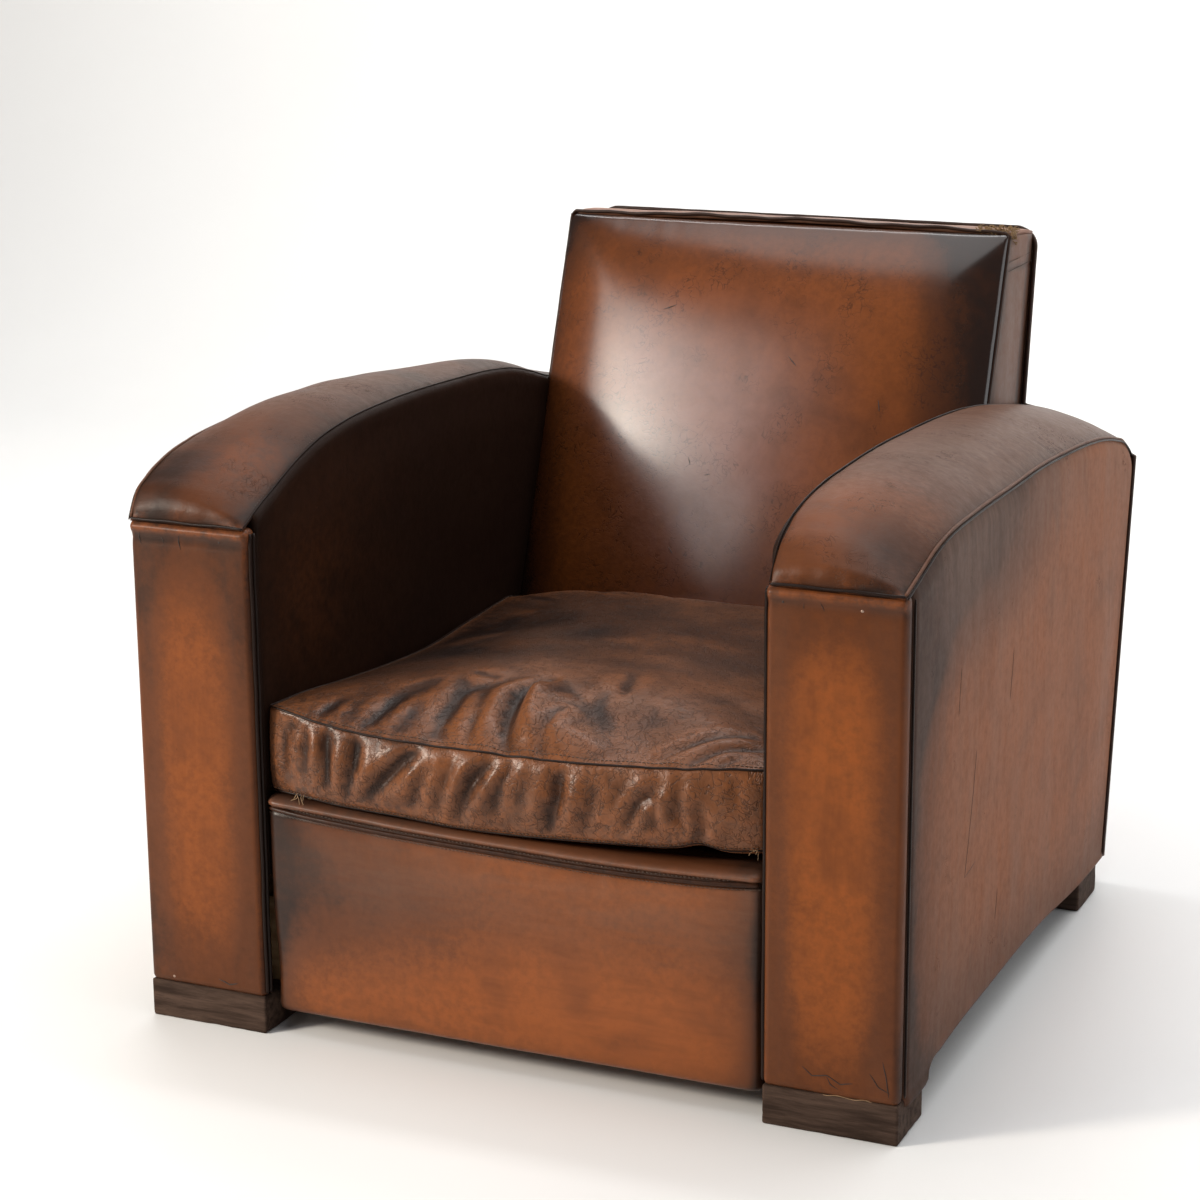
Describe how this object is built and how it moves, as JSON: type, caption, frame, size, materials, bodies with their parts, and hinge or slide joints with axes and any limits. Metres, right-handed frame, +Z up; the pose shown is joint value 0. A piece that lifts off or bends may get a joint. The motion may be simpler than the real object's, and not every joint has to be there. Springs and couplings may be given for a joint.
{
  "type": "worn club chair",
  "caption": "Low leather club armchair with bowed arms, a raked crowned back, a loose seat cushion and square block feet.",
  "frame": {"origin": "on the floor, in the middle of the chair's width and depth", "axes": "+Z up, the chair faces -Y, +X is the right side as seen by someone facing the chair"},
  "size_m": [0.8, 0.875, 0.742],
  "materials": {
    "leather": "waxed cognac hide, worn, darker at seams and edges",
    "cushion_leather": "creased brown hide, dull wax",
    "dark_leather": "dark unpolished hide on the seat deck",
    "foot_wood": "dark stained, rubbed at the edges",
    "frame_wood": "planed, unfinished hardwood",
    "webbing": "woven jute webbing",
    "hessian": "open woven hessian",
    "dust_cloth": "thin black cloth",
    "spring_steel": "coppered wire, dulled"
  },
  "bodies": {
    "root": {"arm_bottom_rail_left": "frame_wood", "arm_bottom_rail_right": "frame_wood", "arm_front_panel_left": "leather", "arm_front_panel_right": "leather", "arm_front_post_left": "frame_wood", "arm_front_post_right": "frame_wood", "arm_inner_panel_left": "leather", "arm_inner_panel_right": "leather", "arm_pad_left": "leather", "arm_pad_right": "leather", "arm_rail_left": "frame_wood", "arm_rail_right": "frame_wood", "arm_rear_post_left": "frame_wood", "arm_rear_post_right": "frame_wood", "arm_side_panel_left": "leather", "arm_side_panel_right": "leather", "back_border_side_left": "leather", "back_border_side_right": "leather", "back_border_top": "leather", "back_lower_rail": "frame_wood", "back_pad": "leather", "back_stile_left": "frame_wood", "back_stile_right": "frame_wood", "back_top_rail": "frame_wood", "back_webbing_across": "webbing", "back_webbing_upright_1": "webbing", "back_webbing_upright_2": "webbing", "corner_block_front_left": "frame_wood", "corner_block_front_right": "frame_wood", "corner_block_rear_left": "frame_wood", "corner_block_rear_right": "frame_wood", "dust_cover": "dust_cloth", "foot_front_left": "foot_wood", "foot_front_right": "foot_wood", "foot_rear_left": "foot_wood", "foot_rear_right": "foot_wood", "outside_back_panel": "leather", "seat_cushion": "cushion_leather", "seat_deck": "dark_leather", "seat_front_apron": "leather", "seat_front_rail": "frame_wood", "seat_rear_rail": "frame_wood", "seat_side_rail_left": "frame_wood", "seat_side_rail_right": "frame_wood", "seat_spring_1": "spring_steel", "seat_spring_2": "spring_steel", "seat_spring_3": "spring_steel", "seat_spring_4": "spring_steel", "seat_spring_5": "spring_steel", "seat_spring_6": "spring_steel", "seat_spring_7": "spring_steel", "seat_spring_8": "spring_steel", "seat_spring_9": "spring_steel", "seat_webbing_across_1": "webbing", "seat_webbing_across_2": "webbing", "seat_webbing_across_3": "webbing", "seat_webbing_along_1": "webbing", "seat_webbing_along_2": "webbing", "seat_webbing_along_3": "webbing", "spring_cover": "hessian"}
  },
  "joints": []
}
